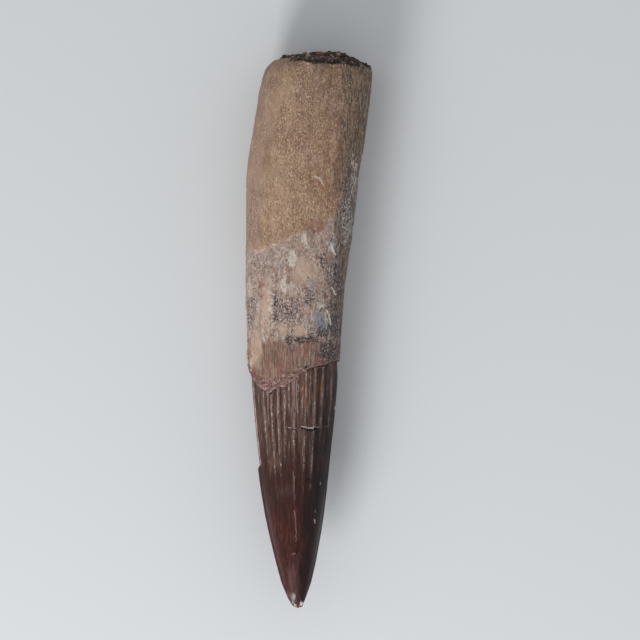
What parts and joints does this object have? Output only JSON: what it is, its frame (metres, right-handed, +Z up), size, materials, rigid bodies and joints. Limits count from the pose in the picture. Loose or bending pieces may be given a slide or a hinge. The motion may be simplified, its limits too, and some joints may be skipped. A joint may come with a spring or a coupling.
{
  "type": "fossil spinosaurus tooth",
  "caption": "Long, slightly curved conical fossil tooth with ridged dark enamel crown, sandy tan root and a broken, sediment-filled root end, lying on its side.",
  "frame": {"origin": "middle of the bounding box in X and Y, at the height of the surface that the tooth lies on", "axes": "+Y from the tip of the crown to the broken end of the root, +Z up from the surface that the tooth lies on, +X to the right with the crown towards the viewer"},
  "size_m": [0.0262, 0.1168, 0.0194],
  "materials": {
    "fossil_tooth": "dark brown satin enamel with lengthwise ridges on the crown, matt sandy tan and bleached grey root with black mineral specks, dark gritty break"
  },
  "bodies": {
    "root": {"tooth": "fossil_tooth"}
  },
  "joints": []
}
